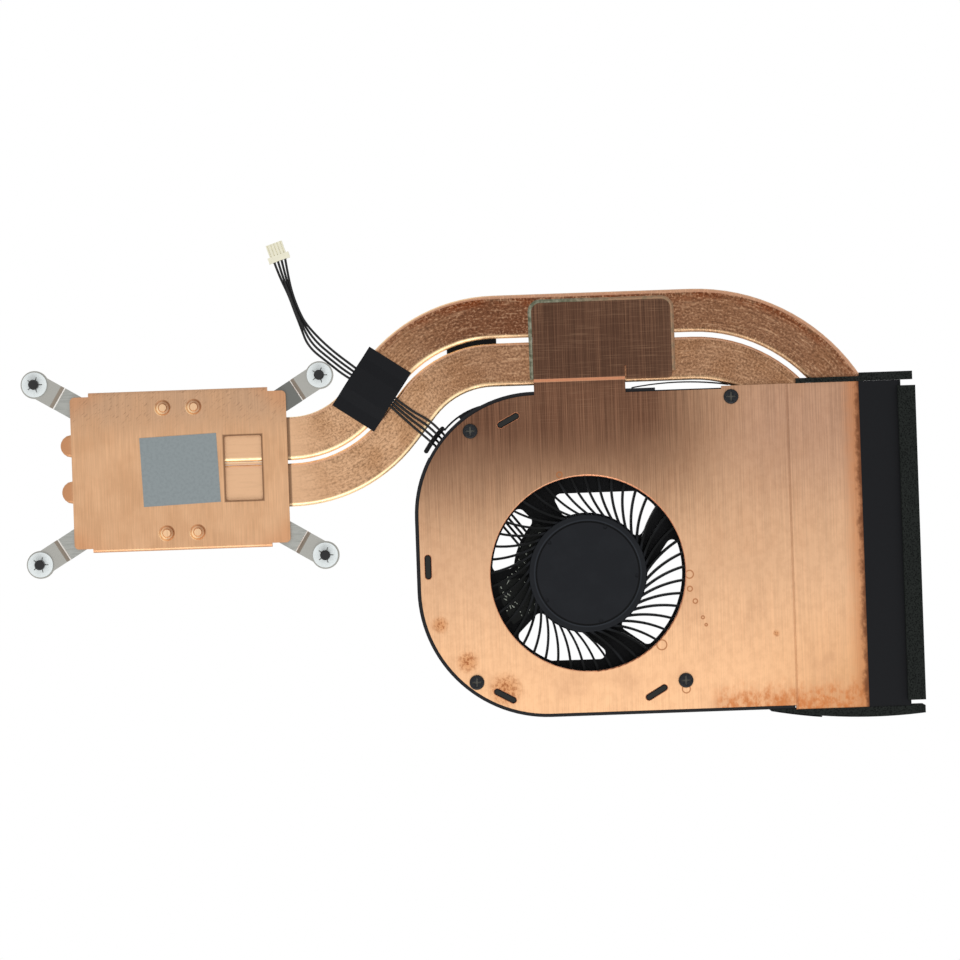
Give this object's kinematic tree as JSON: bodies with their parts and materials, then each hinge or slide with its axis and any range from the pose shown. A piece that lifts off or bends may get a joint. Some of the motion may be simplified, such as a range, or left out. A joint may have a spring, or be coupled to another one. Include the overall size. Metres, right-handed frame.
{
  "type": "laptop cooling fan heatsink",
  "caption": "Laptop cooling module: copper cold plate on spring straps, flattened heat pipes over an S-bend, and a flat blower with a copper cover, fins and a wired plug.",
  "frame": {"origin": "centre of the processor contact, on the face of the thermal compound", "axes": "+Z towards the processor, +X from the cold plate along the part to the air outlet, +Y across it towards the pipes' top run"},
  "size_m": [0.1787, 0.0997, 0.0086],
  "materials": {
    "copper_sheet": "brushed copper sheet",
    "copper_pipe": "satin copper tube",
    "thermal_compound": "matte grey compound",
    "spring_steel": "satin spring steel",
    "screw_steel": "black zinc plated steel",
    "nylon": "translucent white nylon",
    "solder": "dull solder",
    "black_moulding": "black glass-filled plastic",
    "fin_aluminium": "plain aluminium sheet",
    "black_film": "matte black film and tape",
    "black_foam": "porous black foam",
    "motor_steel": "plain steel",
    "magnet": "bonded ferrite",
    "bronze": "sintered bronze",
    "winding": "enamelled copper wire",
    "circuit_board": "dark circuit board",
    "wire_jacket": "black wire insulation",
    "connector_nylon": "cream nylon",
    "contact_tin": "tinned contact"
  },
  "bodies": {
    "heatsink": {"cold_plate": "copper_sheet", "thermal_paste": "thermal_compound", "outer_heat_pipe": "copper_pipe", "inner_heat_pipe": "copper_pipe", "upper_spring_bracket": "spring_steel", "lower_spring_bracket": "spring_steel", "fan_cover": "copper_sheet", "ear_solder": "solder", "pipe_solder": "solder", "fan_frame": "black_moulding", "bearing_sleeve": "bronze", "thrust_washer": "nylon", "stator_core": "motor_steel", "stator_coils": "winding", "motor_board": "circuit_board", "motor_leads": "wire_jacket", "cover_screws": "screw_steel", "fin_stack": "fin_aluminium", "outlet_film": "black_film", "outlet_foam": "black_foam", "upper_end_foam": "black_foam", "lower_end_foam": "black_foam", "upper_side_film": "black_film", "lower_side_film": "black_film", "wire_tape": "black_film", "rear_pipe_tape": "black_film", "fan_wire_1": "wire_jacket", "fan_wire_2": "wire_jacket", "fan_wire_3": "wire_jacket", "fan_wire_4": "wire_jacket", "wire_connector": "connector_nylon", "connector_contacts": "contact_tin"},
    "rotor": {"impeller": "black_moulding", "rotor_yoke": "motor_steel", "rotor_magnet": "magnet", "rotor_shaft": "motor_steel"},
    "captive_screw_1": {"cpu_screw_1": "screw_steel", "screw_retainer_1": "nylon"},
    "captive_screw_2": {"cpu_screw_2": "screw_steel", "screw_retainer_2": "nylon"},
    "captive_screw_3": {"cpu_screw_3": "screw_steel", "screw_retainer_3": "nylon"},
    "captive_screw_4": {"cpu_screw_4": "screw_steel", "screw_retainer_4": "nylon"}
  },
  "joints": [
    {"name": "rotor_spin", "type": "hinge", "parent": "heatsink", "child": "rotor", "pos_m": [0.08084, -0.02351, -0.003], "axis": [0, 0, 1], "continuous": true},
    {"name": "screw_1_turn", "type": "hinge", "parent": "heatsink", "child": "captive_screw_1", "pos_m": [-0.0285, 0.018, 0], "axis": [0, 0, 1], "continuous": true},
    {"name": "screw_2_turn", "type": "hinge", "parent": "heatsink", "child": "captive_screw_2", "pos_m": [0.0285, 0.018, 0], "axis": [0, 0, 1], "continuous": true},
    {"name": "screw_3_turn", "type": "hinge", "parent": "heatsink", "child": "captive_screw_3", "pos_m": [-0.0285, -0.018, 0], "axis": [0, 0, 1], "continuous": true},
    {"name": "screw_4_turn", "type": "hinge", "parent": "heatsink", "child": "captive_screw_4", "pos_m": [0.0285, -0.018, 0], "axis": [0, 0, 1], "continuous": true}
  ]
}
